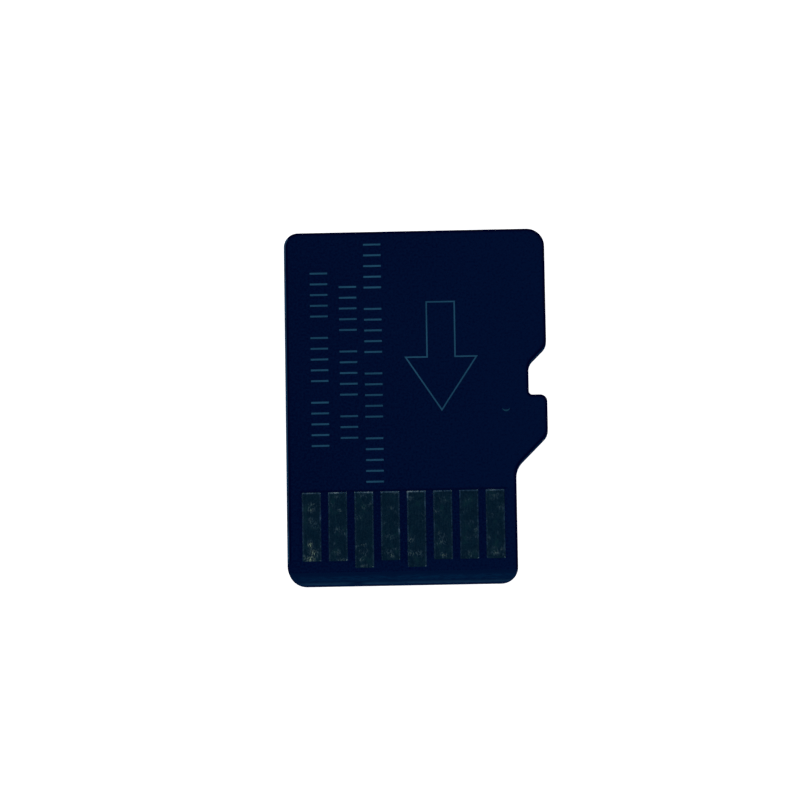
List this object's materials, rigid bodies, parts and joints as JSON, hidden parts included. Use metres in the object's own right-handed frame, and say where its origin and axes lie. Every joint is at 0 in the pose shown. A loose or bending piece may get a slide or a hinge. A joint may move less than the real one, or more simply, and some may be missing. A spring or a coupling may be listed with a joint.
{
  "type": "memory card",
  "caption": "Flat moulded memory card with a notched side, a grip ridge and a row of flush contacts on a bevelled end.",
  "frame": {"origin": "under the middle of the card's box, on the plane that the grip ridge rests on", "axes": "+X across the card towards the notched side, +Y from the contact end to the grip end, +Z out of the contact face"},
  "size_m": [0.011, 0.015, 0.001],
  "materials": {
    "moulding": "fine matte",
    "laminate": "satin, sawn edge",
    "solder_mask": "satin",
    "contact_gold": "worn satin",
    "silicon": "ground",
    "die_film": "satin",
    "capacitor": "satin",
    "bond_wire": "bright"
  },
  "bodies": {
    "root": {"moulded_body": "moulding", "substrate": "laminate", "solder_mask": "solder_mask", "contact_1": "contact_gold", "contact_2": "contact_gold", "contact_3": "contact_gold", "contact_4": "contact_gold", "contact_5": "contact_gold", "contact_6": "contact_gold", "contact_7": "contact_gold", "contact_8": "contact_gold", "memory_die_1": "silicon", "memory_die_2": "silicon", "memory_die_3": "silicon", "memory_die_4": "silicon", "controller_die": "silicon", "memory_film_1": "die_film", "memory_film_2": "die_film", "memory_film_3": "die_film", "memory_film_4": "die_film", "controller_film": "die_film", "capacitor_1": "capacitor", "capacitor_2": "capacitor", "capacitor_3": "capacitor", "capacitor_4": "capacitor", "memory_wires": "bond_wire", "controller_wires": "bond_wire"}
  },
  "joints": []
}
